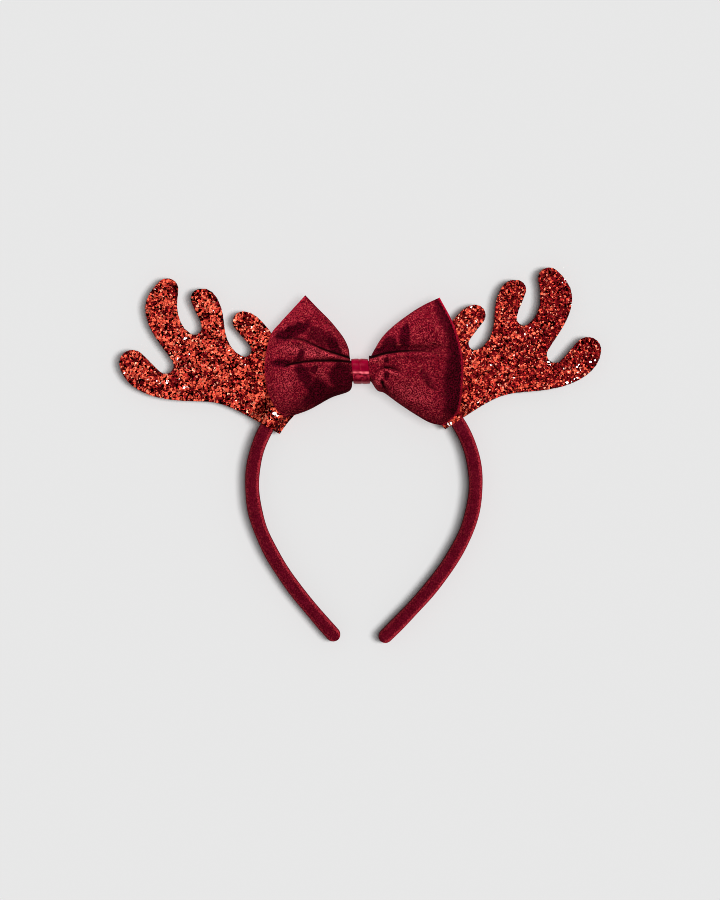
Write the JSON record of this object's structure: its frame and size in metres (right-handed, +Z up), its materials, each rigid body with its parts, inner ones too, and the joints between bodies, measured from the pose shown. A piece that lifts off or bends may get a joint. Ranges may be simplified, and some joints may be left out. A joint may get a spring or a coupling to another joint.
{
  "type": "reindeer antler headband",
  "caption": "Padded velvet headband with a velvet bow tied at its crown and a pair of flat glitter antlers wrapped round the band, lying on its side.",
  "frame": {"origin": "middle of the object's box seen from above, on the surface that it lies on", "axes": "+Z up from the surface, +Y from the band's mouth to its crown, +X to the wearer's left"},
  "size_m": [0.2512, 0.1988, 0.0252],
  "materials": {
    "velvet": "pile",
    "glitter": "coarse glitter",
    "satin": "satin"
  },
  "bodies": {
    "root": {"band": "velvet", "antler_left": "glitter", "antler_right": "glitter", "bow": "velvet", "knot": "satin"}
  },
  "joints": []
}
